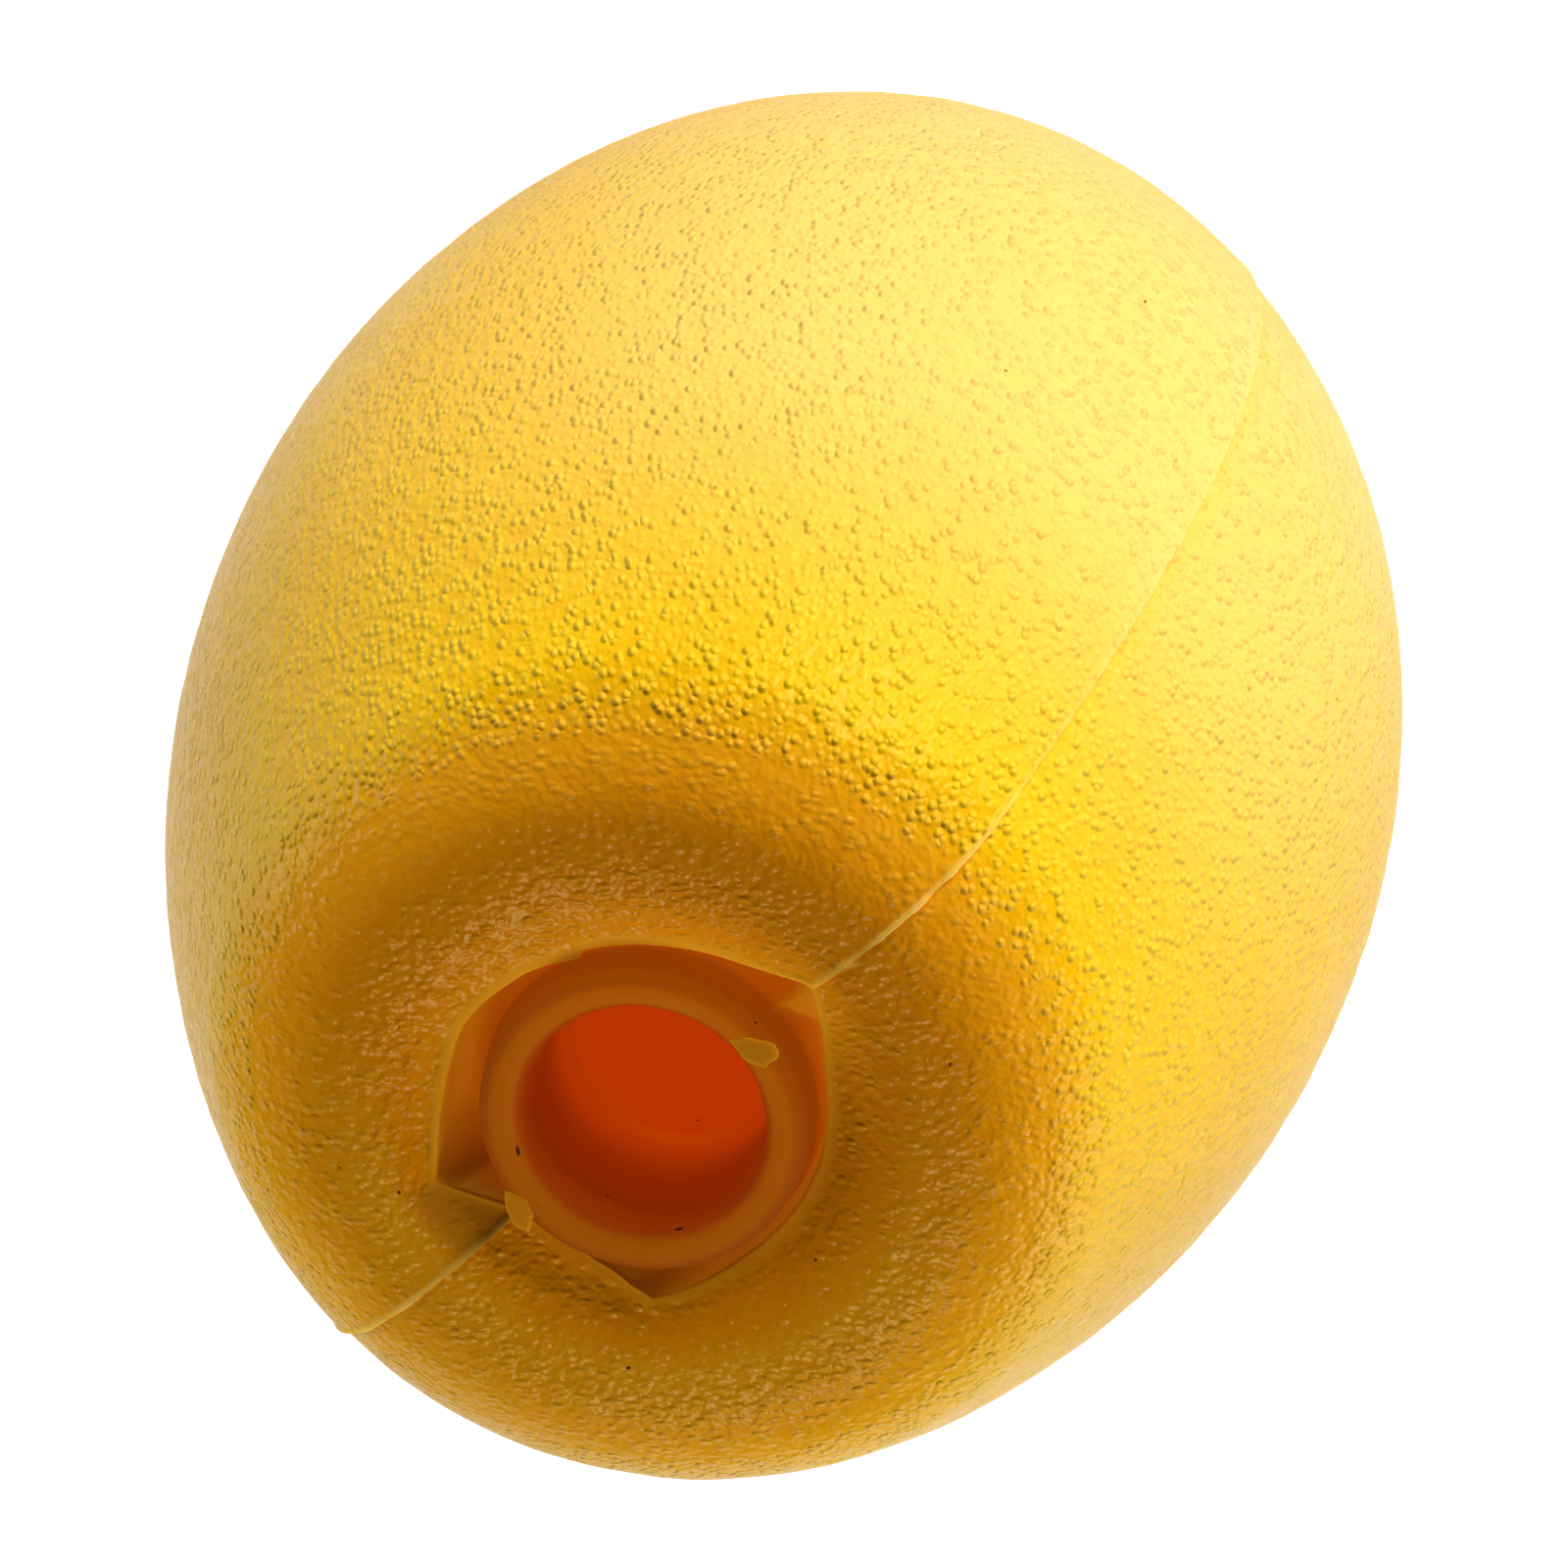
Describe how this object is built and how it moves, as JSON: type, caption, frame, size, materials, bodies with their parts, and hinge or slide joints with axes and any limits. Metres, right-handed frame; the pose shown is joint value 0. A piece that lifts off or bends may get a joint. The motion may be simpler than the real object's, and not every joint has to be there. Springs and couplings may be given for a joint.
{
  "type": "anchor line float",
  "caption": "Barrel-shaped moulded foam float with a rope bore through its axis, a collar in a recess round each mouth and a stepped parting line.",
  "frame": {"origin": "middle of the ring that the float stands on, on the bore's axis", "axes": "+Z along the bore towards the end with the torn flash; the parting line lies in the XZ plane"},
  "size_m": [0.15, 0.1495, 0.211],
  "materials": {
    "float_skin": "pebble-grained closed-cell foam skin, satin"
  },
  "bodies": {
    "root": {"float_body": "float_skin"}
  },
  "joints": []
}
